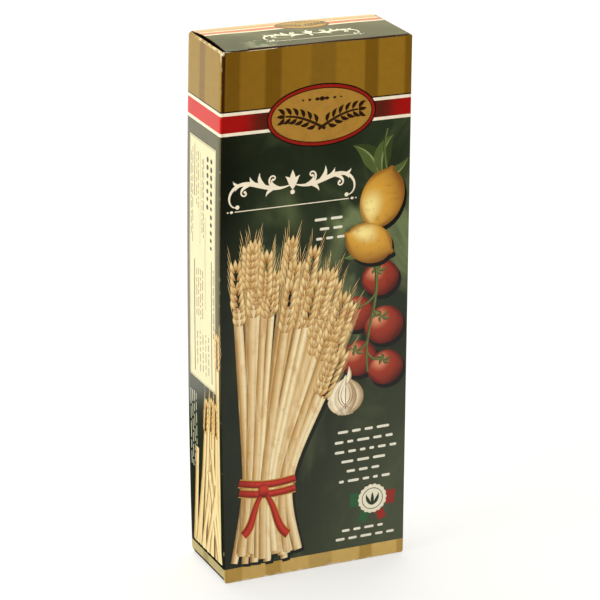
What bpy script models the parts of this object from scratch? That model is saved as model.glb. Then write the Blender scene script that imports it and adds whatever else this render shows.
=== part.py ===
"""A tall, shut tuck-end carton for breadsticks, modelled as one solid.

The carton stands upright. X runs to the right along the wide front, Y from front to back and Z up.
The origin is on the ground, under the middle of the carton's own box. Lengths are in metres.
A full carton is slack card round its contents: its left side swells, and its lid arches off the
folded dust flap at that end, which leaves a tapering gap.
"""

from math import pi, sin

import bmesh
import bpy
from mathutils import Matrix, Vector

MM = 0.001

# The carton, from fold to fold.
WIDTH = 88 * MM
DEPTH = 39 * MM
HEIGHT = 240 * MM
BOARD = 0.45 * MM
FOLD_RADIUS = 0.8 * MM
FOLD_SEGMENTS = 3

# How far the left side swells at mid-height, at the front fold and at the back fold.
SWELL_FRONT = 1.8 * MM
SWELL_BACK = 1.25 * MM

# The lid: set in from the sides, and arched over the dust flap at its left end.
LID_LEFT_INSET = 3.0 * MM
LID_RIGHT_INSET = 1.3 * MM
LID_CROWN_LEFT = 2.0 * MM
LID_CROWN_RIGHT = 0.3 * MM
LID_CROWN_FADE = 1.6
FLAP_DIP = 0.8 * MM
GAP_REACH = 9.0 * MM
GAP_RANKS = 12
EDGE_SLANT = 0.02 * MM
RIGHT_STEP = 0.8 * MM

# The slot where the lid tucks in behind the front panel.
TUCK_SLOT = 0.4 * MM
TUCK_SLOT_DEPTH = 1.2 * MM
TUCK_LEFT = 12.0 * MM
TUCK_RIGHT = 8.0 * MM

# The side panels end above the base, where their dust flaps fold in over the bottom panel.
FOOT_STEP_HEIGHT = 1.8 * MM
FOOT_STEP_DEPTH = 1.0 * MM

# The cut edge of the back panel, beside the glued corner.
SEAM_WIDTH = 0.5 * MM

CLEAR = 2.0 * MM           # how far a cutter runs past the carton
NEAR = 0.001 * MM
ROWS, COLUMNS, RANKS = 24, 10, 12

# The whole box is centred on the origin, so the flat folds stand a little to the right.
LEFT = -WIDTH / 2 + SWELL_FRONT / 2
RIGHT = LEFT + WIDTH
FRONT = -DEPTH / 2
BACK = DEPTH / 2


def clear_scene():
    for item in list(bpy.data.objects):
        bpy.data.objects.remove(item, do_unlink=True)


def new_collection(name):
    collection = bpy.data.collections.new(name)
    bpy.context.scene.collection.children.link(collection)
    return collection


def even_cuts(low, high, count):
    """The places that divide low to high into count equal steps."""
    return [low + (high - low) * step / count for step in range(1, count)]


def gridded_block(low, high, cuts):
    """A block from low to high, sliced at the places in cuts = (along X, along Y, along Z)."""
    low, high = Vector(low), Vector(high)
    shape = bmesh.new()
    size = Matrix.Diagonal((*(high - low), 1.0))
    bmesh.ops.create_cube(shape, size=1.0, matrix=Matrix.Translation((low + high) / 2) @ size)
    for axis, places in enumerate(cuts):
        normal = [float(i == axis) for i in range(3)]
        for place in places:
            point = [place * amount for amount in normal]
            faces = shape.verts[:] + shape.edges[:] + shape.faces[:]
            bmesh.ops.bisect_plane(shape, geom=faces, plane_co=point, plane_no=normal)
    return shape


def as_object(name, shape, collection):
    mesh = bpy.data.meshes.new(name)
    shape.to_mesh(mesh)
    shape.free()
    item = bpy.data.objects.new(name, mesh)
    collection.objects.link(item)
    return item


def across(x):
    """0 at the left fold and 1 at the right fold."""
    return min(max((x - LEFT) / WIDTH, 0.0), 1.0)


def towards_back(y):
    """0 at the front fold and 1 at the back fold."""
    return min(max((y - FRONT) / DEPTH, 0.0), 1.0)


def swell(x, y, z):
    """How far a point moves to the left: most at the left side, at mid-height and at the front."""
    side = SWELL_FRONT + (SWELL_BACK - SWELL_FRONT) * towards_back(y)
    height = min(max(z / HEIGHT, 0.0), 1.0)
    return side * (1 - across(x)) * 4 * height * (1 - height)


def lid_rise(x, y):
    """The lid's height above the folds: an arch from front to back that fades to the right."""
    crown = LID_CROWN_RIGHT + (LID_CROWN_LEFT - LID_CROWN_RIGHT) * (1 - across(x)) ** LID_CROWN_FADE
    return crown * sin(pi * towards_back(y)) if x < RIGHT - NEAR else 0.0


def flap_top(x):
    """The dust flap under the lid slopes down from the left panel's top fold."""
    return HEIGHT - FLAP_DIP * (0.5 + (x - LEFT) / GAP_REACH)


def mark_folds(shape):
    """Gives a bevel weight to the edges that lie in two of the plain block's outer faces."""
    outer = ((LEFT, RIGHT), (FRONT, BACK), (0.0, HEIGHT))
    weight = shape.edges.layers.float.new("bevel_weight_edge")
    for edge in shape.edges:
        start, end = (vert.co for vert in edge.verts)
        touched = sum(
            max(abs(start[axis] - place), abs(end[axis] - place)) < NEAR
            for axis, places in enumerate(outer)
            for place in places
        )
        edge[weight] = 1.0 if touched > 1 else 0.0


def make_body(collection):
    """The closed carton, swollen to the left and arched at the top, with every fold rounded."""
    lid_start = LEFT + LID_LEFT_INSET / 2
    cuts = (
        [lid_start, lid_start + EDGE_SLANT, *even_cuts(lid_start, RIGHT, COLUMNS)],
        even_cuts(FRONT, BACK, RANKS),
        even_cuts(0, HEIGHT, ROWS),
    )
    shape = gridded_block((LEFT, FRONT, 0), (RIGHT, BACK, HEIGHT), cuts)
    mark_folds(shape)
    for vert in shape.verts:
        x, y, z = vert.co
        if z > HEIGHT - NEAR and x > lid_start + NEAR:
            vert.co.z += lid_rise(x, y)
        vert.co.x -= swell(x, y, z)
    body = as_object("carton", shape, collection)
    bevel = body.modifiers.new("folds", "BEVEL")
    bevel.width = FOLD_RADIUS
    bevel.segments = FOLD_SEGMENTS
    bevel.limit_method = "WEIGHT"
    bevel.use_clamp_overlap = False
    return body


def make_cutter(name, low, high, collection, cuts=((), (), ()), move=None):
    """A block that is cut out of the body. move shifts each of its points, if given."""
    shape = gridded_block(low, high, cuts)
    if move:
        for vert in shape.verts:
            vert.co = move(*vert.co)
    cutter = as_object(name, shape, collection)
    cutter.hide_render = True
    cutter.display_type = "WIRE"
    return cutter


def gap_cutter(collection):
    """The space over the dust flap: open to the sky beside the lid, and under the lid a low arch
    that tapers to the front and the back."""
    lid_edge = LEFT + LID_LEFT_INSET
    inside = lid_edge + EDGE_SLANT
    low = (LEFT + FOLD_RADIUS, FRONT + BOARD, HEIGHT - CLEAR)
    high = (LEFT + GAP_REACH, BACK - BOARD, HEIGHT + CLEAR)

    def to_gap(x, y, z):
        if z < HEIGHT:
            return Vector((x, y, flap_top(x)))
        under_lid = HEIGHT + lid_rise(x, y) - BOARD
        return Vector((x, y, under_lid if x > (lid_edge + inside) / 2 else HEIGHT + 2 * CLEAR))

    columns = [lid_edge, inside, *even_cuts(inside, high[0], 3)]
    cuts = (columns, even_cuts(low[1], high[1], GAP_RANKS), ())
    return make_cutter("lid_gap", low, high, collection, cuts, to_gap)


def right_ledge_cutter(collection):
    """The lid stops short of the right panel, whose fold stands a little lower."""
    low = (RIGHT - LID_RIGHT_INSET, FRONT - CLEAR, HEIGHT - RIGHT_STEP)
    high = (RIGHT + CLEAR, BACK - 2 * FOLD_RADIUS, HEIGHT + CLEAR)
    return make_cutter("right_ledge", low, high, collection)


def tuck_slot_cutter(collection):
    """The narrow slot between the front panel's cut edge and the lid's front fold."""
    low = (LEFT + TUCK_LEFT, FRONT + BOARD, HEIGHT - TUCK_SLOT_DEPTH)
    high = (RIGHT - TUCK_RIGHT, FRONT + BOARD + TUCK_SLOT, HEIGHT + CLEAR)
    return make_cutter("tuck_slot", low, high, collection)


def foot_step_cutter(side, collection):
    """The low step under a side panel. side is -1 on the left and 1 on the right."""
    inner = LEFT + FOOT_STEP_DEPTH if side < 0 else RIGHT - FOOT_STEP_DEPTH
    outer = LEFT - CLEAR if side < 0 else RIGHT + CLEAR
    low = (min(inner, outer), FRONT + BOARD, -CLEAR)
    high = (max(inner, outer), BACK - 2 * BOARD, FOOT_STEP_HEIGHT)
    name = "left_foot_step" if side < 0 else "right_foot_step"
    return make_cutter(name, low, high, collection)


def seam_cutter(collection):
    """The back panel's cut edge leaves a shallow step along the glued corner."""
    low = (RIGHT - SEAM_WIDTH - FOLD_RADIUS, BACK - BOARD, -CLEAR)
    high = (RIGHT + CLEAR, BACK + CLEAR, HEIGHT + CLEAR)
    return make_cutter("glued_seam", low, high, collection)


def board_material():
    material = bpy.data.materials.new("printed_board")
    material.use_nodes = True
    shader = material.node_tree.nodes["Principled BSDF"]
    shader.inputs["Base Color"].default_value = (0.035, 0.042, 0.022, 1.0)
    shader.inputs["Roughness"].default_value = 0.32
    shader.inputs["Metallic"].default_value = 0.0
    return material


def main():
    clear_scene()
    parts = new_collection("breadstick_carton")
    guides = new_collection("cutters")
    body = make_body(parts)
    body.data.materials.append(board_material())
    cutters = [
        gap_cutter(guides),
        right_ledge_cutter(guides),
        tuck_slot_cutter(guides),
        foot_step_cutter(-1, guides),
        foot_step_cutter(1, guides),
        seam_cutter(guides),
    ]
    for cutter in cutters:
        cut = body.modifiers.new(cutter.name, "BOOLEAN")
        cut.operation = "DIFFERENCE"
        cut.object = cutter


main()
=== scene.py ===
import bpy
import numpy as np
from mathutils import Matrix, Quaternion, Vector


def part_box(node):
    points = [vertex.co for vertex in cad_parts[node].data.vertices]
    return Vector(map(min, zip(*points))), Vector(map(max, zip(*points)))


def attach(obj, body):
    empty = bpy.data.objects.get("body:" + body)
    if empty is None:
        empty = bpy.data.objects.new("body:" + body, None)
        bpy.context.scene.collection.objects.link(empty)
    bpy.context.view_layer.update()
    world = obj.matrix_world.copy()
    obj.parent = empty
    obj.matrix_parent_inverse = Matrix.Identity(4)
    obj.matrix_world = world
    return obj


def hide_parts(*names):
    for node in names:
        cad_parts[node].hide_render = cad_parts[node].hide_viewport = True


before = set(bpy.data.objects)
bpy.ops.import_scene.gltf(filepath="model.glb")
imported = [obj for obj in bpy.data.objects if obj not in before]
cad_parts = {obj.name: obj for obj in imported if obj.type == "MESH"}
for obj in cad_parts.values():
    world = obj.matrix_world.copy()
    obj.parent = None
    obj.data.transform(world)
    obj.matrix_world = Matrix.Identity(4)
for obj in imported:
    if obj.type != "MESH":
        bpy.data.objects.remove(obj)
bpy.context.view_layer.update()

# A shut breadstick carton of printed folding board. The board pieces are the folded blank, and the
# print lies on them as thin films of ink. Lengths are millimetres until a mesh is made.
# A place on the blank is (s, z): s runs round the carton from the front left fold, to the right
# along the front, and z is the height.

METRES = 0.001
LOW, HIGH = (np.array(corner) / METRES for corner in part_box("carton"))

# ---- The carton's sizes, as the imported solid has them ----
SWELL_FRONT, SWELL_BACK = 1.8, 1.25
WIDTH = HIGH[0] - LOW[0] - SWELL_FRONT
DEPTH = HIGH[1] - LOW[1]
HEIGHT = 240.0
BOARD = 0.45
FOLD = 0.8                # the radius of a fold
BEND = np.pi / 2 * FOLD   # and the length of card that goes round it
SEAM = 1.3                # from the back panel's cut edge to the corner that it is glued at
FOOT_STEP = 1.8
LEFT, RIGHT = HIGH[0] - WIDTH, HIGH[0]
FRONT, BACK = LOW[1], HIGH[1]

# The set of the card: how far each panel pillows out, and what the carton's racking adds at the top
# of the back.
PILLOW = np.array([0.30, 0.12, 0.30, 0.12, 0.0])
RACK_LEAN, RACK_STAND, RACK_BOW = 0.7, 1.0, 0.3

# The lid, with a little less arch and inset than the solid's, and the bottom. The tuck is the lid's
# tongue, which goes down behind the front panel and leaves a gap there.
CROWN_LEFT, CROWN_RIGHT, CROWN_FADE = 1.1, 0.3, 1.6
LID_INSET_BACK, LID_INSET_LEFT, LID_INSET_RIGHT = 1.3, 2.1, 1.3
TUCK_LEFT, TUCK_RIGHT = 12.0, 80.0
TUCK_GAP, TUCK_FOLD, TUCK_LENGTH = 0.9, 0.6, 12.0
LEVEL = DEPTH - FOLD - BOARD - TUCK_GAP - TUCK_FOLD
BOTTOM_INSET, BOTTOM_LIFT = 1.2, 0.02

# The flaps, most of which is hidden. A dust flap sinks just past its fold and then slopes, and its
# sides draw in.
GLUE_FLAP = 14.0
DUST_FLAP = 22.0
FLAP_SINK, FLAP_SINK_REACH, FLAP_SLOPE = 0.45, 0.7, 0.09
FLAP_MARGIN, FLAP_TAPER = 0.9, 0.25

# Folds of the blank, counted along s: back left, front left, front right, back right.
PANEL_BACK = WIDTH - SEAM
FOLDS = np.array([-DEPTH, 0.0, WIDTH, WIDTH + DEPTH - BOARD])
S_START, S_END = -DEPTH - PANEL_BACK, FOLDS[3] + GLUE_FLAP
BLANK_LENGTH = S_END - S_START

# ---- The print's bands, as distances down from the top ----
WHITE_RINGS = ((26.0, 27.4), (34.7, 36.1))
RED_RING = (27.4, 34.7)
HEADER_END = 25.9
FOOTER_START = 233.3
LID_RING = (6.2, 13.0)
LABEL_BOX = (3.8, 43.0, 34.4, 152.0)
PICTURE_END = 232.6

# A piece's own map: the printed face takes it up to MAP_TOP, and the cut rims a strip above that.
MAP_TOP, RIM_STRIP, RIM_BREADTH = 0.96, 0.965, 0.03

# Films of ink, and how high above the card a sheet of them starts: on it, over that, and in front.
INK_FILM = 0.035
ON_CARD, OVER, IN_FRONT = 0.02, 0.08, 0.10

DRAWS = np.random.default_rng(11)


def srgb(red, green, blue):
    """A display colour of 0 to 255 as linear light."""
    share = np.array([red, green, blue]) / 255
    return (*np.where(share <= 0.04045, share / 12.92, ((share + 0.055) / 1.055) ** 2.4), 1.0)


# ================================================================== the blank's surface

CORNERS = np.array([[LEFT, BACK], [LEFT, FRONT], [RIGHT, FRONT], [RIGHT, BACK - BOARD]])
STARTS = np.vstack([[RIGHT - SEAM, BACK], CORNERS])
RUNS = np.array([[-1, 0], [0, -1], [1, 0], [0, 1], [-1, 0]], float)
NORMALS = np.array([[0, 1], [-1, 0], [0, -1], [1, 0], [0, 1]], float)


def on_blank(s, z, lift=0.0):
    """The blank folded round the carton: straight panels joined by quarter circles at the folds.
    Each panel pillows out by a sine across it and up it. The left side swells by a parabola in
    height that fades to nothing at the right."""
    s, z = np.broadcast_arrays(np.asarray(s, float), np.asarray(z, float))
    panel = np.searchsorted(FOLDS, s)
    edges = np.concatenate([[S_START], FOLDS, [S_END]])
    along = s - edges[panel]
    point = STARTS[panel] + RUNS[panel] * along[..., None]
    normal = NORMALS[panel]
    nearest = np.abs(s[..., None] - FOLDS).argmin(-1)
    offset = s - FOLDS[nearest]
    turn = np.clip(offset / FOLD + 1, 0, 2) * np.pi / 4
    before, after = NORMALS[nearest], NORMALS[nearest + 1]
    arc_normal = before * np.cos(turn)[..., None] + after * np.sin(turn)[..., None]
    arc_point = CORNERS[nearest] - FOLD * (before + after) + FOLD * arc_normal
    folded = (np.abs(offset) < FOLD)[..., None]
    point, normal = np.where(folded, arc_point, point), np.where(folded, arc_normal, normal)
    rise = np.clip(z / HEIGHT, 0, 1)
    across = along / (edges[panel + 1] - edges[panel])
    pillow = PILLOW[panel] * np.sin(np.pi * across) * np.sin(np.pi * rise)
    point = point + normal * (pillow + lift)[..., None]
    back_share = np.clip((point[..., 1] - FRONT) / DEPTH, 0, 1)
    left_share = np.clip((RIGHT - point[..., 0]) / WIDTH, 0, 1)
    swell = (SWELL_FRONT + (SWELL_BACK - SWELL_FRONT) * back_share) * 4 * rise * (1 - rise)
    return racked(np.stack([point[..., 0] - swell * left_share, point[..., 1], z], -1))


def racked(place):
    """The set of the used card: towards the top, the back leans to the right, and it stands higher
    than the front, most of all in the middle of its width by a half sine. Both grow from front to
    back, the first with the square of height and the second with its cube."""
    back_share = np.clip((place[..., 1] - FRONT) / DEPTH, 0, 1)
    left_share = np.clip((RIGHT - place[..., 0]) / WIDTH, 0, 1)
    rise = np.clip(place[..., 2] / HEIGHT, 0, 1)
    lean = RACK_LEAN * rise ** 2
    stand = (RACK_STAND + RACK_BOW * np.sin(np.pi * left_share)) * rise ** 3
    return place + np.stack([lean * back_share, 0 * lean, stand * back_share], -1)


def lid_rise(x, y):
    """The lid's arch over the flat: a half sine from front to back, fading to the right."""
    across = np.clip((x - LEFT) / WIDTH, 0, 1)
    crown = CROWN_RIGHT + (CROWN_LEFT - CROWN_RIGHT) * (1 - across) ** CROWN_FADE
    return crown * np.sin(np.pi * np.clip((y - FRONT) / DEPTH, 0, 1))


def lid_slack(x, y):
    """The card's slackness on top of the arch: slow slanting waves that fade to the lid's folds,
    and a smaller wave along its front."""
    depth = np.clip((BACK - y) / DEPTH, 0, 1)
    ripple = 0.10 * np.sin(x / 5.1 + y / 9 + 1.0) * np.sin(np.pi * depth) ** 2
    return ripple + 0.08 * np.sin(x / 5.3) * np.clip(depth * 5 - 4, 0, 1)


def on_lid(x, y, lift=0.0):
    """A place on the lid, x from the left fold and y from the back fold."""
    x, y = np.broadcast_arrays(LEFT + np.asarray(x, float), BACK - np.asarray(y, float))
    return racked(np.stack([x, y, HEIGHT + lid_rise(x, y) + lid_slack(x, y) + lift], -1))


def face(start, width=WIDTH):
    """A panel as its own flat page: x from its left edge and y down from the top."""
    stretch = width / WIDTH if width > DEPTH else 1.0

    def place(flat, lift):
        return on_blank(start + flat[..., 0] * stretch, HEIGHT - flat[..., 1], lift)

    return place


def lid_page(flat, lift):
    return on_lid(flat[..., 0], flat[..., 1], lift)


FRONT_PAGE, BACK_PAGE = face(0.0), face(S_START, PANEL_BACK)
LEFT_PAGE, RIGHT_PAGE = face(-DEPTH, DEPTH), face(WIDTH, DEPTH)


# ================================================================== meshes from grids

class Patch:
    """A grid of points, with the place of each on the piece's own map."""

    def __init__(self, points, chart):
        self.points, self.chart = points, chart


def quads_of(rows, columns):
    index = np.arange(rows * columns).reshape(rows, columns)
    corners = index[:-1, :-1], index[:-1, 1:], index[1:, 1:], index[1:, :-1]
    return np.stack(corners, -1).reshape(-1, 4)


def facing(points, quads, outward):
    """Turns the quads over where they face away from the outward directions, by their vote."""
    a, b, c = (points[quads[:, i]] for i in (0, 1, 2))
    vote = (np.cross(b - a, c - a) * outward(points[quads].mean(1))).sum()
    return quads[:, ::-1] if vote < 0 else quads


def from_blank(centre):
    """Away from the carton's middle line, to whichever panel is nearer."""
    offset = (centre[:, :2] - [(LEFT + RIGHT) / 2, 0]) / [WIDTH, DEPTH]
    pick = np.abs(offset).argmax(1)
    out = np.zeros_like(centre)
    out[np.arange(len(centre)), pick] = np.sign(offset[np.arange(len(centre)), pick])
    return out


def upward(centre):
    return np.tile([0.0, 0.0, 1.0], (len(centre), 1))


def downward(centre):
    return -upward(centre)


def map_rims(mesh, outer_count):
    """Gives the faces of the rims a strip of the map of their own, above the rest."""
    loops = len(mesh.loops)
    vertex, spot = np.empty(loops, np.int32), np.empty(loops * 2, np.float32)
    mesh.loops.foreach_get("vertex_index", vertex)
    layer = mesh.uv_layers["OFBake"].data
    layer.foreach_get("uv", spot)
    spot = spot.reshape(-1, 2)
    sizes, inner = np.empty(len(mesh.polygons), np.int32), vertex >= outer_count
    mesh.polygons.foreach_get("loop_total", sizes)
    starts = np.concatenate([[0], np.cumsum(sizes)[:-1]])
    mixed = np.logical_or.reduceat(inner, starts) & ~np.logical_and.reduceat(inner, starts)
    rim = np.repeat(mixed, sizes)
    spot[rim] = np.stack([spot[rim].sum(1) / 2, RIM_STRIP + RIM_BREADTH * inner[rim]], 1)
    layer.foreach_set("uv", spot.ravel())


def make_piece(name, patches, materials, thickness, outward=from_blank, rim=0):
    """Joins patches into one mesh, gives it its thickness inward, and puts it on the carton.
    Points that fall together, as at the seam of a ring, become one."""
    vertices, faces, chart, count = [], [], [], 0
    for patch in patches:
        points = patch.points.reshape(-1, 3)
        faces.append(facing(points, quads_of(*patch.points.shape[:2]), outward) + count)
        vertices.append(points)
        chart.append(patch.chart.reshape(-1, 2))
        count += len(points)
    vertices, faces, chart = np.vstack(vertices), np.vstack(faces), np.vstack(chart)
    mesh = bpy.data.meshes.new(name)
    mesh.from_pydata(vertices * METRES, [], faces.tolist())
    layer = mesh.uv_layers.new(name="OFBake")
    layer.data.foreach_set("uv", (chart[faces.ravel()] * [1, MAP_TOP]).astype(np.float32).ravel())
    for material in materials:
        mesh.materials.append(material)
    piece = bpy.data.objects.new(name, mesh)
    bpy.context.scene.collection.objects.link(piece)
    seam = piece.modifiers.new("seams", "WELD")
    seam.merge_threshold = 0.000001
    joined = len(settle(piece).vertices)
    wall = piece.modifiers.new("thickness", "SOLIDIFY")
    wall.thickness = thickness * METRES
    wall.offset = -1
    wall.use_even_offset = True
    wall.material_offset_rim = rim
    solid = settle(piece)
    map_rims(solid, joined)
    solid.shade_smooth()
    solid.set_sharp_from_angle(angle=np.radians(40))
    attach(piece, "root")
    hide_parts("carton")
    return piece


def settle(piece):
    """Makes the modifiers' result the piece's own mesh."""
    before = piece.data
    bpy.context.view_layer.update()
    evaluated = piece.evaluated_get(bpy.context.evaluated_depsgraph_get())
    after = bpy.data.meshes.new_from_object(evaluated)
    piece.modifiers.clear()
    piece.data = after
    bpy.data.meshes.remove(before)
    after.name = piece.name
    return after


# ================================================================== shader maths

def sum_of(operation, swapped=False):
    """A method that works out self and other, or other and self, in a Math node."""
    def method(self, other):
        return self.maths(operation, *((other, self) if swapped else (self, other)))

    return method


class Value:
    """A node's output, so that sums on it add Math nodes."""

    def __init__(self, paint, socket):
        self.paint, self.socket = paint, socket

    def maths(self, operation, *values):
        return self.paint.node("ShaderNodeMath", {"operation": operation}, dict(enumerate(values)))

    __add__, __radd__ = sum_of("ADD"), sum_of("ADD", True)
    __sub__, __rsub__ = sum_of("SUBTRACT"), sum_of("SUBTRACT", True)
    __mul__, __rmul__ = sum_of("MULTIPLY"), sum_of("MULTIPLY", True)
    __truediv__, __pow__ = sum_of("DIVIDE"), sum_of("POWER")
    __gt__, __lt__ = sum_of("GREATER_THAN"), sum_of("LESS_THAN")
    least, most = sum_of("MINIMUM"), sum_of("MAXIMUM")

    def size(self):
        return self.maths("ABSOLUTE", self)

    def floor(self):
        return self.maths("FLOOR", self)

    def between(self, low, high):
        return (self > low) * (self < high)

    def ramp(self, low, high):
        """0 at low and 1 at high, easing at both ends."""
        return self.paint.node("ShaderNodeMapRange", {"interpolation_type": "SMOOTHSTEP"},
                               {0: self, 1: low, 2: high})


class Paint:
    """One finish: a Principled material and its nodes."""

    def __init__(self, name, roughness=0.3, coat=0.05):
        self.material = bpy.data.materials.new(name)
        self.material.use_nodes = True
        self.tree = self.material.node_tree
        self.shader = self.tree.nodes["Principled BSDF"]
        self.shader.inputs["Roughness"].default_value = roughness
        self.shader.inputs["Coat Weight"].default_value = coat
        self.shader.inputs["Coat Roughness"].default_value = 0.12
        self.shader.inputs["Specular IOR Level"].default_value = 0.22

    def feed(self, socket, value):
        if isinstance(value, Value):
            self.tree.links.new(value.socket, socket)
        else:
            socket.default_value = value

    def node(self, kind, settings=None, inputs=None, output=0):
        """Adds any node: its settings first, then the values or links of its sockets."""
        made = self.tree.nodes.new(kind)
        for key, value in (settings or {}).items():
            if key == "stops":
                self.set_stops(made.color_ramp, value)
            elif key == "interpolation":
                made.color_ramp.interpolation = value
            else:
                setattr(made, key, value)
        for key, value in (inputs or {}).items():
            self.feed(made.inputs[key], value)
        return Value(self, made.outputs[output])

    @staticmethod
    def set_stops(ramp, stops):
        while len(ramp.elements) < len(stops):
            ramp.elements.new(0.5)
        for element, (place, colour) in zip(ramp.elements, stops):
            element.position = place
        for element, (place, colour) in zip(ramp.elements, stops):
            element.color = colour

    def object_place(self):
        return self.node("ShaderNodeTexCoord", output=3)

    def parts(self, vector):
        """A vector's three numbers."""
        split = self.node("ShaderNodeSeparateXYZ", None, {0: vector}).socket.node
        return [Value(self, socket) for socket in split.outputs]

    def chart(self):
        """The piece's own map, as its two numbers."""
        spot = self.node("ShaderNodeUVMap", {"uv_map": "OFBake"})
        across, up, _ = self.parts(spot)
        return across, up / MAP_TOP

    def noise(self, place, scale, detail=2.0, distortion=0.0):
        inputs = {"Vector": place, "Scale": scale, "Detail": detail, "Distortion": distortion}
        return self.node("ShaderNodeTexNoise", None, inputs)

    def stretched(self, place, scale):
        return self.node("ShaderNodeMapping", None, {"Vector": place, "Scale": scale})

    def mix(self, first, second, share):
        return self.node("ShaderNodeMix", {"data_type": "RGBA"}, {0: share, 6: first, 7: second}, 2)

    def over(self, ground, *layers):
        """The ground under layers, each a colour and the share of it that covers what is below."""
        for colour, share in layers:
            ground = self.mix(ground, colour, share)
        return ground

    def finish(self, colour, roughness, relief, depth):
        """Sends the varying values to the shader. roughness is None where it doesn't vary, and
        relief is a height, in shares of depth in metres."""
        self.feed(self.shader.inputs["Base Color"], colour)
        if roughness is not None:
            self.feed(self.shader.inputs["Roughness"], roughness)
        inputs = {"Height": relief, "Distance": depth, "Strength": 1.0}
        self.feed(self.shader.inputs["Normal"], self.node("ShaderNodeBump", None, inputs))
        return self.material


CARD_RELIEF, FIBRE_RELIEF = 0.28 * METRES, 0.02 * METRES


def coated(paint, colour, mottle=0.10, matt=0.0):
    """The finish that all of the print shares: a faint mottle, a gloss that varies a little, and
    the card's slow waviness under a fine grain."""
    place = paint.object_place()
    dark = paint.noise(place, 260.0, 3.0).ramp(0.30, 0.85)
    tone = paint.mix(colour, (0, 0, 0, 1), dark * mottle)
    gloss = 0.15 + paint.noise(place, 90.0) * 0.10 + matt
    relief = paint.noise(place, 26.0, 2.0) + paint.noise(place, 1500.0, 2.0) * 0.016
    return paint.finish(tone, gloss, relief, CARD_RELIEF)


def ink(name, colour, mottle=0.12):
    """One flat ink under the finish that all of the print shares."""
    return coated(Paint(name), colour, mottle)


# ================================================================== the printed blank's finish

HEADER_GOLDS = {"light": srgb(150, 110, 26), "dark": srgb(122, 86, 12), "middle": srgb(134, 99, 26),
                "side light": srgb(152, 118, 20), "side dark": srgb(128, 94, 6)}
FOOTER_GOLDS = {"light": srgb(208, 172, 96), "dark": srgb(178, 142, 66), "middle": srgb(190, 156, 86),
                "side light": srgb(190, 176, 128), "side dark": srgb(168, 152, 108)}
# Painted shade for the header gold, laid deepest at the front's left end.
GOLD_PAINTED_SHADE = srgb(104, 70, 8)
GREEN_DEEP, GREEN_SOFT, MIST = srgb(24, 30, 16), srgb(46, 56, 36), srgb(122, 134, 90)
# Painted light, the next line: the low green is a painted reflection of the floor, the side green painted
# glare on the left side, and the night green painted shade along the front's left edge, over a printed
# vignette.
GREEN_FLOOR_SHEEN, GREEN_LEFT_GLARE, GREEN_EDGE_SHADE = srgb(78, 84, 62), srgb(104, 100, 72), srgb(8, 12, 2)
# The last red is painted glare: the red band brighter on the left side.
RED, RED_DEEP, RED_LEFT_GLARE = srgb(166, 12, 6), srgb(92, 30, 16), srgb(208, 24, 8)
# The last of these is painted shade: a dark line down the front beside its left fold.
WHITE, LINE_DARK, FOLD_SHADE = srgb(250, 236, 212), srgb(40, 28, 8), srgb(46, 16, 4)
RUBBED, BARE = srgb(222, 212, 184), srgb(244, 232, 200)

FACE_STRIPES = ((0, "dark"), (7.5, "light"), (19.5, "dark"), (27, "light"), (39.8, "middle"),
                (51.7, "light"), (64.7, "dark"), (71.7, "light"), (83.7, "dark"))
SIDE_STRIPES = ((0, "side light"), (14.0, "side dark"), (19.5, "side light"))


def stripes(paint, golds, share):
    """The gold stripes of all four panels, by their share of the blank's length. Two steps a hair
    apart, half of each, soften the edges."""
    panels = ((S_START, FACE_STRIPES), (-DEPTH, SIDE_STRIPES), (0.0, FACE_STRIPES), (WIDTH, SIDE_STRIPES))
    stops = [((start + place - S_START) / BLANK_LENGTH, golds[tone])
             for start, panel in panels for place, tone in panel]
    settings = {"stops": stops, "interpolation": "CONSTANT"}
    steps = (paint.node("ShaderNodeValToRGB", settings, {0: share + hair}) for hair in (-0.0013, 0.0013))
    return paint.mix(*steps, 0.5)


def green_field(paint, place, s, page, down):
    """The body's green: cloudy, and misty behind the picture. Over it lies painted light: lighter low
    down at the right, a painted reflection of the floor; nearly black along the front's left edge,
    painted shade over a printed vignette; and greyer on the left side, painted glare."""
    wisp = paint.noise(paint.stretched(place, (24, 24, 15)), 1.0, 3.0, 2.0)
    heart = page.ramp(2, 30) * down.ramp(52, 84) * (1 - down.ramp(122, 168))
    mist = wisp.ramp(0.38, 0.62) * heart + wisp.ramp(0.45, 0.75) * 0.3 * page.ramp(4, 30)
    return paint.over(
        GREEN_DEEP,
        (GREEN_SOFT, paint.noise(place, 14.0, 2.0).ramp(0.3, 0.75)),
        (MIST, mist.least(1.0) * 0.85),
        # Painted reflection of the floor, low down at the right.
        (GREEN_FLOOR_SHEEN, page.ramp(20, 90) * down.ramp(130, 225) * 0.8),
        # Painted shade along the front's left edge, over a printed vignette.
        (GREEN_EDGE_SHADE, (1 - page.ramp(1, 18)) * (s > 0) * (1 - down.ramp(120, 190)) * 0.75),
        # Painted glare on the left side.
        (GREEN_LEFT_GLARE, s.between(-DEPTH, 0.4) * (1 - down.ramp(135, 168)) * 0.75))


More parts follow.
